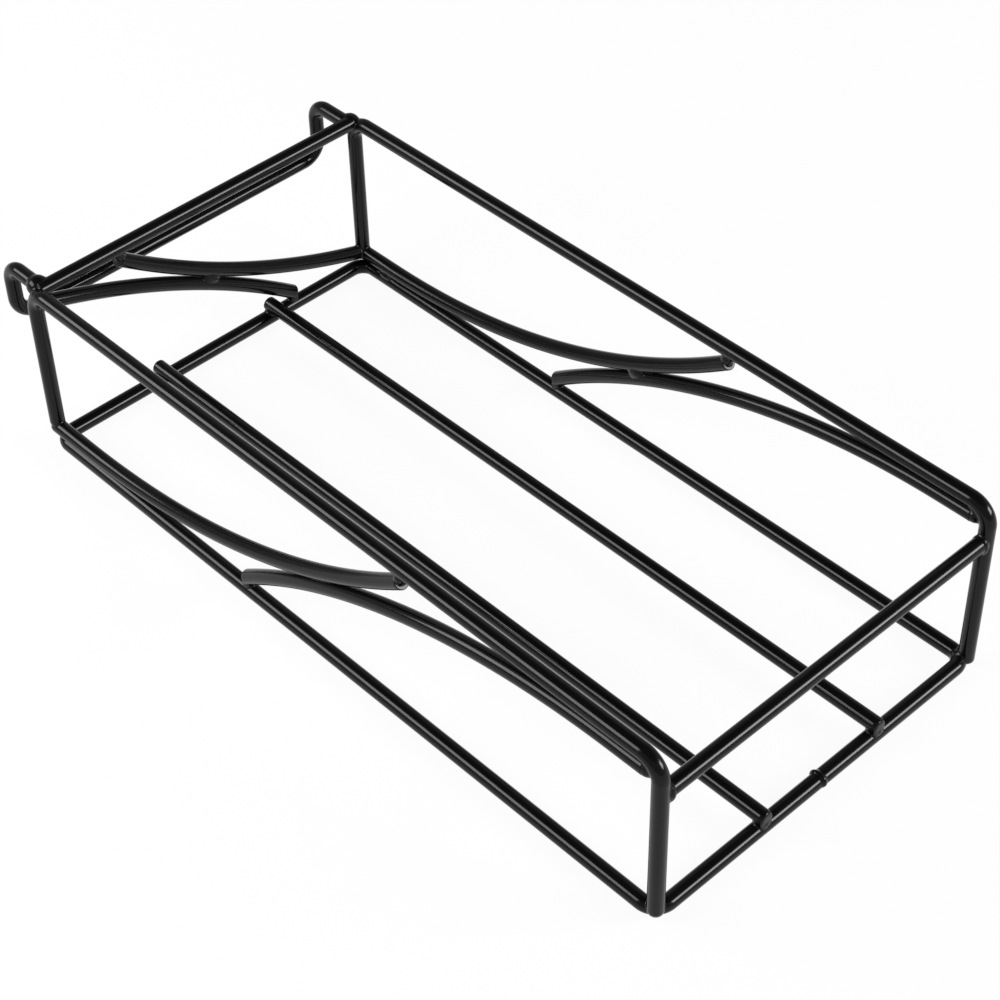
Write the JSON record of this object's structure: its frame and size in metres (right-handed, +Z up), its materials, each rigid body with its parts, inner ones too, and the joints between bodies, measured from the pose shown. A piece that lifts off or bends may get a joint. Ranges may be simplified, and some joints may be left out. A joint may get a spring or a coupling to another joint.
{
  "type": "condiment display rack",
  "caption": "Long open tray of bent and welded round rod, gloss black, with curved bow wires in its walls and a bent hook wire at the rear for hanging it on a rail.",
  "frame": {"origin": "on the table under the middle of the whole rack, from the front welds to the hooks", "axes": "+X to the right seen from the front, +Y to the rear, towards the hooks, +Z up"},
  "size_m": [0.1644, 0.3466, 0.0792],
  "materials": {
    "rod_paint": "gloss black paint on steel rod",
    "weld_paint": "gloss black paint over weld beads"
  },
  "bodies": {
    "root": {"base_ring": "rod_paint", "left_side_frame": "rod_paint", "right_side_frame": "rod_paint", "front_bar": "rod_paint", "rear_top_bar": "rod_paint", "hook_wire": "rod_paint", "left_base_slat": "rod_paint", "right_base_slat": "rod_paint", "left_lower_bow": "rod_paint", "right_lower_bow": "rod_paint", "left_upper_bow": "rod_paint", "right_upper_bow": "rod_paint", "rear_lower_bow": "rod_paint", "rear_upper_bow": "rod_paint", "ring_seam_weld": "weld_paint", "front_foot_welds": "weld_paint", "left_rear_foot_welds": "weld_paint", "right_rear_foot_welds": "weld_paint", "left_front_bar_weld": "weld_paint", "right_front_bar_weld": "weld_paint", "slat_welds": "weld_paint", "bow_middle_welds": "weld_paint", "bow_ring_welds": "weld_paint", "bow_rail_welds": "weld_paint", "bow_corner_welds": "weld_paint", "hook_welds": "weld_paint"}
  },
  "joints": []
}
